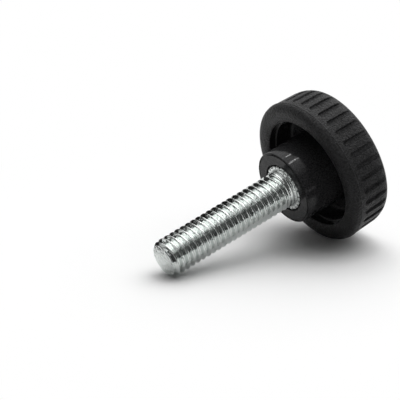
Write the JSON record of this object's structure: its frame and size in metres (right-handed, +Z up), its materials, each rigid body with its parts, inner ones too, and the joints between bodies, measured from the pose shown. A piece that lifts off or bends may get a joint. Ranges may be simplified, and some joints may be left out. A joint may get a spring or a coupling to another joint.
{
  "type": "knurled head screw",
  "caption": "Hand-tightened screw: a round black knurled head with a raised hub, moulded round a plated steel stud with a metric thread.",
  "frame": {"origin": "centre of the bounding box's foot, on the surface that the screw lies on", "axes": "+X from the thread's tip towards the head, +Z up; the screw's own axis lies in the XZ plane and rises towards the head"},
  "size_m": [0.0374, 0.0236, 0.0237],
  "materials": {
    "head_plastic": "black moulded thermoplastic, fine grain on the rim and face, smoother hub and recess",
    "plated_steel": "bright zinc plating"
  },
  "bodies": {
    "root": {"head": "head_plastic", "stud": "plated_steel"}
  },
  "joints": []
}
